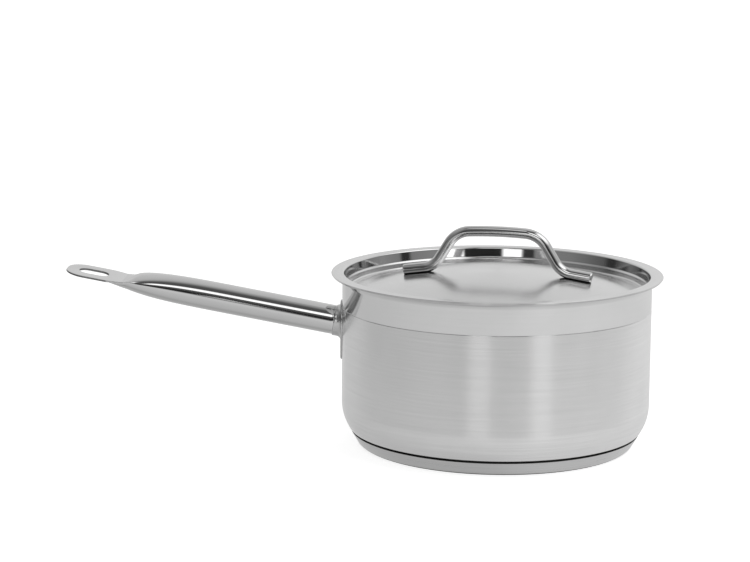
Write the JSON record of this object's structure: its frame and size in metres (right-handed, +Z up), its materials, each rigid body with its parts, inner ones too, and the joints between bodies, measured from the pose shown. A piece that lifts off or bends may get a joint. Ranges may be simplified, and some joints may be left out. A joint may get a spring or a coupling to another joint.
{
  "type": "saucepan with lid",
  "caption": "Straight-sided steel saucepan with a sandwich base, flared pouring rim, long tube handle with a hanging slot, and a lift-off pressed steel lid with a bent bar handle.",
  "frame": {"origin": "centre of the flat underside that the pan stands on", "axes": "+Z up along the pan's axis, handle along -X, +Y to the far side when the handle points left"},
  "size_m": [0.3904, 0.216, 0.1435],
  "materials": {
    "pan_steel": "fine round brushing below a polished band",
    "base_steel": "satin",
    "core_aluminium": "plain rolled",
    "polished_steel": "bright polished",
    "lid_steel": "satin panel with a mirror recess wall"
  },
  "bodies": {
    "pan": {"pan_body": "pan_steel", "base_cap": "base_steel", "base_core": "core_aluminium", "handle_socket": "polished_steel", "handle_tube": "polished_steel"},
    "lid": {"lid_shell": "lid_steel", "lid_handle": "polished_steel"}
  },
  "joints": [
    {"name": "lid_lift", "type": "slide", "parent": "pan", "child": "lid", "axis": [0, 0, 1], "range_m": [0, 0.15]}
  ]
}
